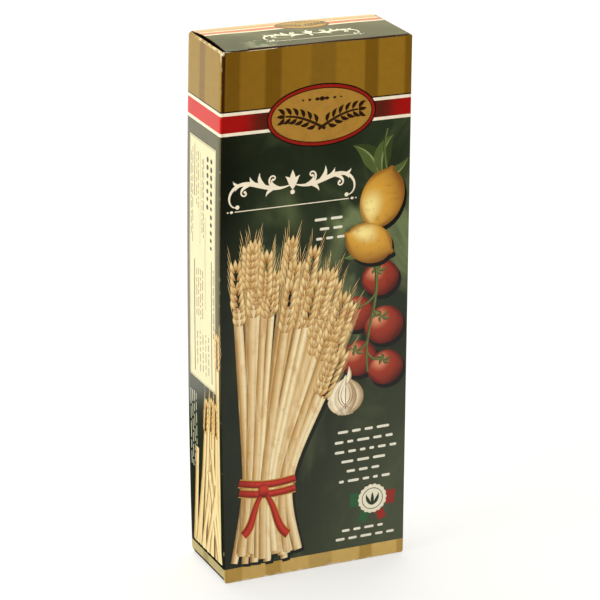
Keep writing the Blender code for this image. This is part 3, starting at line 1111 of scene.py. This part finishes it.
def small_print(sheet, box, rows, half, ragged, words=(1.8, 5.0), upright=False):
    """Rows of short bars in a box (left, top, right, bottom), ragged by a share of its width. words
    are the shortest and longest bar, in widths of one. Upright rows have x and y exchanged."""
    left, top, right, bottom = box
    for row in range(rows):
        y = top + (bottom - top) * (row + 0.5) / rows
        slack = DRAWS.uniform(0, ragged) * (right - left) / 2
        x, stop = left + slack, right - slack
        while x < stop - 1.0:
            end = min(x + DRAWS.uniform(*words) * half * 2, stop)
            ends = ((y, x), (y, end)) if upright else ((x, y), (end, y))
            sheet.add(bar(*ends, half))
            x = end + half * 3.0


def lemon(centre, turn, length, half):
    """A lemon's outline about its middle line: an oval body, and at each end a blunt nipple. Its
    half width is the cube root of the summed cubes of the two."""
    t = np.linspace(-1, 1, 49)
    body = np.sqrt(np.clip(1 - (t / 0.88) ** 2, 0, 1))
    nipple = 0.24 * np.sqrt(np.clip(1 - t ** 6, 0.0004, 1))
    path = np.asarray(centre) + np.outer(t * length / 2, along_page(turn))
    return ribbon(path, half * (body ** 3 + nipple ** 3) ** (1 / 3), 15)


def lemons(page, tag, centre, lift):
    """Two lemons, of which one is behind the other, with leaves and a twig."""
    centre = np.asarray(centre, float)
    leaves, shade, fruit = Sheet(page, lift), Sheet(page, lift - 0.004), Sheet(page, lift + 0.012)
    for start, end, half, bend in (((1, -15), (-11, -30), 4.4, 0.16), ((3, -16), (8, -33), 4.0, -0.14),
                                   ((2, -14), (15, -22), 3.6, 0.18), ((-5, 12), (-15, 20), 3.2, -0.15)):
        leaves.add(leaf(centre + start, centre + end, half, bend, 17))
    leaves.add(ribbon(scroll(centre + [5, -36], 1.9, (-0.9, 0.4), 24, 20), np.linspace(0.5, 0.8, 20)))
    for spot, turn, length, half in (((3, -5), -1.25, 30, 10.2), ((-3, 14.5), 0.45, 26, 8.8)):
        body = lemon(centre + spot, turn, length, half)
        shade.add(body + [1.0, 1.8])
        fruit.add(body)
    shade.lay(tag + "_lemon_shade", in_ink(srgb(14, 16, 6)), "picture_ink")
    leaves.lay(tag + "_lemon_leaves", leaf_finish(srgb(96, 112, 58), srgb(48, 58, 26)), "picture_ink")
    peel = round_finish(srgb(218, 162, 60), srgb(255, 234, 152), srgb(136, 84, 28))
    fruit.lay(tag + "_lemons", peel, "picture_ink")


def tomatoes(page, tag, centre, lift):
    """Tomatoes on a vine that waves by a sine. Each is its place and its radius."""
    x, y = centre
    shade, fruit, green = Sheet(page, lift), Sheet(page, lift + 0.012), Sheet(page, lift + 0.03)
    spots = ((x + 5, y - 27, 8.8), (x - 6, y - 12, 8.4), (x + 7, y - 5, 9.4), (x - 5, y + 9, 8.8),
             (x + 8, y + 15, 8.6))
    crowns = [np.array([u - radius * 0.15, v - radius * 0.45]) for u, v, radius in spots]
    for (u, v, radius), crown in zip(spots, crowns):
        shade.add(disc((u + 1.2, v + 1.8), (radius, radius * 0.95), 17))
        fruit.add(disc((u, v), (radius, radius * 0.93), 19))
        for turn in np.arange(5) * 2 * np.pi / 5 + u * 0.3:
            green.add(leaf(crown, crown + 0.52 * radius * along_page(turn) * [1, 0.62], 0.75, 0.2))
    t = np.linspace(0, 1, 40)
    stem = np.stack([x + 1.0 + 2.2 * np.sin(5.5 * t), y - 42 + 58 * t], 1)
    green.add(ribbon(stem, np.linspace(0.9, 0.5, 40)))
    for (u, v, radius), crown in zip(spots, crowns):
        start = stem[np.abs(stem[:, 1] - (crown[1] - 5)).argmin()]
        green.add(leaf(start, crown, 0.55, 0.2 * np.sign(u - x)))
    skin = round_finish(srgb(160, 54, 32), srgb(232, 150, 110), srgb(84, 18, 10))
    shade.lay(tag + "_tomato_shade", in_ink(srgb(20, 14, 6)), "picture_ink")
    fruit.lay(tag + "_tomatoes", skin, "picture_ink")
    green.lay(tag + "_tomato_vine", leaf_finish(srgb(110, 122, 62), srgb(56, 66, 30)), "picture_ink")


def garlic(page, tag, foot, lift):
    """A head of garlic: cloves that meet at the neck, with a fine line along each."""
    cloves, folds = Sheet(page, lift), Sheet(page, lift + 0.012)
    foot = np.asarray(foot, float)
    for turn, half in ((-0.8, 4.6), (0.8, 4.6), (-0.4, 5.0), (0.4, 5.0), (0.0, 5.4)):
        tip = foot + [np.sin(turn) * 1.2, -19.0 + abs(turn) * 2.5]
        start = foot + [np.sin(turn) * 5.0, -abs(turn) * 0.8]
        cloves.add(leaf(start, tip, half, -0.28 * np.sign(turn), 17))
        folds.add(leaf(start + [np.sign(turn) * 2.2, -1.0], tip, 0.2, -0.34 * np.sign(turn), 17))
    cloves.add(leaf(foot + [0, -14.0], foot + [1.5, -23.0], 1.2, 0.1))
    skin = folded_finish(srgb(255, 246, 222), srgb(226, 204, 164), srgb(150, 116, 78))
    cloves.lay(tag + "_garlic", skin, "picture_ink")
    folds.lay(tag + "_garlic_lines", in_ink(srgb(160, 118, 84)), "picture_ink")


def seal(page, tag, centre, lift):
    """A round white seal with a scalloped edge, over a green and a red ribbon tail."""
    x, y = centre
    green, red, white = Sheet(page, lift), Sheet(page, lift), Sheet(page, lift + 0.012)
    for sheet, way in ((green, -1), (red, 1)):
        sheet.add(ribbon(line((x + way * 1.6, y + 2.5), (x + way * 5.2, y + 10.4), 8), np.full(8, 2.0)))
        sheet.add(ribbon(line((x + way * 0.2, y - 0.4), (x + way * 11.0, y + way * 0.6), 8), np.full(8, 3.3)))
    white.add(disc((x, y), (6.2, 6.2), 17), oval_ring((x, y), (6.3, 6.3), 0.55, 18, 0.035, 145))
    green.lay(tag + "_seal_ribbon_green", in_ink(srgb(42, 92, 52)), "picture_ink")
    red.lay(tag + "_seal_ribbon_red", in_ink(srgb(150, 40, 30)), "red_ink")
    white.lay(tag + "_seal", in_ink(srgb(240, 232, 208)), "white_ink")
    mark = Sheet(page, lift + 0.03)
    mark.add(oval_ring((x, y), (5.0, 5.0), 0.16, count=61))
    for turn in (-0.5, 0.0, 0.5):
        foot = np.array([x, y + 3.2])
        mark.add(leaf(foot, foot + 6.4 * up_page(turn), 0.8, 0.1 * np.sign(turn)))
    mark.lay(tag + "_seal_mark", in_ink(srgb(40, 56, 34)), "picture_ink")


def label(page, tag, box):
    """A cream panel of fine print that runs up the side: a thin border, dark rules, a heading of bold
    blocks and columns of bars. Places on it are shares of its width and height."""
    left, top, right, bottom = box
    width, height = right - left, bottom - top
    ground, dark, fine = (Sheet(page, ON_CARD + step) for step in (0, 0.014, 0.014))
    grid = np.meshgrid(np.linspace(left, right, 9), np.linspace(top, bottom, 40), indexing="ij")
    ground.add(np.stack(grid, -1))
    west, north, east, south = left + 0.6, top + 0.6, right - 0.6, bottom - 0.6
    for start, end in (((west, north), (east, north)), ((west, south), (east, south)),
                       ((west, north), (west, south)), ((east, north), (east, south))):
        fine.add(ribbon(line(start, end, 24), 0.12))
    for across, start, end, half in ((0.20, 0.03, 0.24, 0.3), (0.20, 0.50, 0.97, 0.4),
                                     (0.42, 0.05, 0.42, 0.1), (0.62, 0.30, 0.68, 0.14),
                                     (0.86, 0.46, 0.97, 0.35)):
        x = left + width * across
        dark.add(ribbon(line((x, top + height * start), (x, top + height * end), 24), half))
    for across, blocks in ((0.84, 12), (0.70, 7)):
        for y in top + 5.0 + 3.5 * np.arange(blocks):
            x, reach = left + width * across, DRAWS.uniform(1.7, 2.6)
            dark.add(bar((x, y), (x, y + reach), 1.15))
    for low, high, rows, start, end in ((0.05, 0.15, 2, 0.03, 0.45), (0.25, 0.38, 2, 0.03, 0.30),
                                        (0.47, 0.58, 2, 0.05, 0.40), (0.25, 0.56, 4, 0.52, 0.74),
                                        (0.25, 0.80, 5, 0.78, 0.96), (0.90, 0.97, 1, 0.46, 0.80)):
        column = (top + height * start, left + width * low, top + height * end, left + width * high)
        small_print(fine, column, rows, 0.3, 0.2, (2.0, 9.0), upright=True)
    ground.lay(tag + "_label", in_ink(srgb(231, 221, 183), 0.05), "white_ink")
    dark.lay(tag + "_label_rules", in_ink(srgb(52, 44, 34)), "picture_ink")
    fine.lay(tag + "_label_print", in_ink(srgb(134, 122, 92)), "picture_ink")


def wide_panel(page, tag):
    """The print of the front or the back over the stripes, rings and green of the board."""
    cartouche(page, tag, (46, 31), (25.2, 13.7))
    flourish(page, tag, (33, 58.5), 29)
    tomatoes(page, tag, (69.5, 134), ON_CARD)
    garlic(page, tag, (58.5, 169), ON_CARD + 0.04)
    lemons(page, tag, (71.8, 76), OVER)
    sheaf(page, tag, (21.4, 197), IN_FRONT)
    words = Sheet(page, ON_CARD)
    for box, rows, half, ragged in (((43, 75, 59, 88), 3, 0.6, 0.35), ((52, 174.5, 85, 203), 6, 0.62, 0.55),
                                    ((54, 222.5, 83, 230.5), 2, 0.6, 0.3)):
        small_print(words, box, rows, half, ragged)
    words.lay(tag + "_small_print", in_ink(srgb(238, 232, 214)), "white_ink")
    seal(page, tag, (72, 211), ON_CARD)


def side_panel(page, tag):
    """The print of the left or the right side: the label, some small print and the cut wheat."""
    label(page, tag, LABEL_BOX)
    words = Sheet(page, ON_CARD)
    small_print(words, (157, 2.5, 198, 11.5), 4, 0.34, 0.2, (4.0, 12.0), upright=True)
    words.lay(tag + "_small_print", in_ink(srgb(206, 204, 180)), "white_ink")
    spray(page, tag, ON_CARD)


def lid_print():
    cartouche(lid_page, "lid", (49, 9.0), (12.5, 7.4))
    flourish(lid_page, "lid", (46, 23), 22, srgb(240, 240, 216))


def other_way(page):
    """The same page with left and right exchanged."""
    def place(flat, lift):
        return page(mirrored(flat, WIDTH / 2), lift)

    return place


# ================================================================== stage

def softbox(name, place, aim, size, glow, tint):
    """A soft light whose face glows by the amount given, whatever its size."""
    data = bpy.data.lights.new(name, "AREA")
    data.color = tint
    data.shape, data.size, data.size_y = "RECTANGLE", size[0], size[1]
    data.energy = glow * np.pi * size[0] * size[1]
    light = bpy.data.objects.new(name, data)
    light.location = place
    light.rotation_mode = "QUATERNION"
    light.rotation_quaternion = (Vector(aim) - Vector(place)).to_track_quat("-Z", "Y")
    bpy.context.scene.collection.objects.link(light)


FLOOR_REACH, FLOOR_FAR, FLOOR_DROP = 6, 10, 0.0002
FLAG_FRONT, FLAG_BACK, FLAG_SIDE = -0.45, 0.20, -0.045


def floor_sheet(name, near, far, finish, left=-FLOOR_REACH, right=FLOOR_REACH):
    corners = [(x, y, -FLOOR_DROP) for x, y in ((left, near), (right, near), (right, far), (left, far))]
    mesh = bpy.data.meshes.new(name)
    mesh.from_pydata(corners, [], [(0, 1, 2, 3)])
    mesh.materials.append(finish)
    sheet = bpy.data.objects.new(name, mesh)
    bpy.context.scene.collection.objects.link(sheet)
    return sheet


def make_floor():
    """One pale floor in four sheets. Its front part and the part close by at the left aren't
    mirrored in the gloss, as if flags stood there."""
    pale = bpy.data.materials.new("floor_pale")
    pale.use_nodes = True
    shader = pale.node_tree.nodes["Principled BSDF"]
    shader.inputs["Base Color"].default_value = (0.36, 0.36, 0.36, 1)
    shader.inputs["Roughness"].default_value = 0.9
    shader.inputs["Specular IOR Level"].default_value = 0.0
    shader.inputs["Emission Color"].default_value = (1, 1, 1, 1)
    shader.inputs["Emission Strength"].default_value = 0.58
    floor_sheet("floor", FLAG_BACK, FLOOR_FAR, pale)
    floor_sheet("floor_middle", FLAG_FRONT, FLAG_BACK, pale, left=FLAG_SIDE)
    floor_sheet("floor_left", FLAG_FRONT, FLAG_BACK, pale, right=FLAG_SIDE).visible_glossy = False
    floor_sheet("floor_front", -FLOOR_REACH, FLAG_FRONT, pale).visible_glossy = False


def make_lights():
    """A dim surround, a wide soft box above, and others behind, at the left and in front."""
    world = bpy.data.worlds.new("surround")
    world.use_nodes = True
    world.node_tree.nodes["Background"].inputs[0].default_value = (1, 1, 1, 1)
    world.node_tree.nodes["Background"].inputs[1].default_value = 0.05
    bpy.context.scene.world = world
    softbox("top_box", (0.2, 1.0, 2.2), (0, 0.2, 0), (3.0, 3.0), 3.1, (1.0, 0.985, 0.90))
    softbox("back_box", (1.2, 2.6, 1.22), (0, 0, 0.24), (3.4, 1.6), 1.12, (1.0, 0.93, 0.56))
    softbox("left_box", (-1.5, -0.1, 0.75), (0, 0, 0.12), (1.1, 1.0), 5.4, (1.0, 0.975, 0.76))
    softbox("front_box", (-0.35, -1.45, 0.75), (0, 0, 0.12), (0.9, 0.6), 5.4, (1.0, 0.97, 0.90))


def make_camera():
    """A long lens, to the left of the front and above it, with a trace of roll."""
    azimuth, elevation, roll, distance = np.radians(-24.12), np.radians(18.63), np.radians(0.26), 1.136
    target = Vector((0.0015, -0.0001, 0.1205))
    level, rise = np.cos(elevation), np.sin(elevation)
    back = Vector((np.sin(azimuth) * level, -np.cos(azimuth) * level, rise))
    data = bpy.data.cameras.new("camera")
    data.lens, data.sensor_width = 154.9, 36
    data.clip_start = 0.01
    camera = bpy.data.objects.new("camera", data)
    camera.location = target + back * distance
    camera.rotation_mode = "QUATERNION"
    camera.rotation_quaternion = (-back).to_track_quat("-Z", "Y") @ Quaternion((0, 0, 1), roll)
    bpy.context.scene.collection.objects.link(camera)
    bpy.context.scene.camera = camera


# ================================================================== the whole

def build_board():
    """The folded card: the sleeve, the lid and the bottom, and the dust flaps under them."""
    sleeve()
    closure("lid", True, lid_finish())
    closure("bottom", False, ink("printed_bottom", GREEN_SOFT))
    shade = flap_finish()
    for name, side, top in (("dust_flap_top_left", -1, True), ("dust_flap_top_right", 1, True),
                            ("dust_flap_bottom_left", -1, False), ("dust_flap_bottom_right", 1, False)):
        dust_flap(name, side, top, shade)


build_board()
wide_panel(FRONT_PAGE, "front")
wide_panel(other_way(BACK_PAGE), "back")
side_panel(LEFT_PAGE, "left")
side_panel(RIGHT_PAGE, "right")
lid_print()
make_floor()
make_lights()
make_camera()
bpy.context.scene.view_settings.view_transform = "Standard"
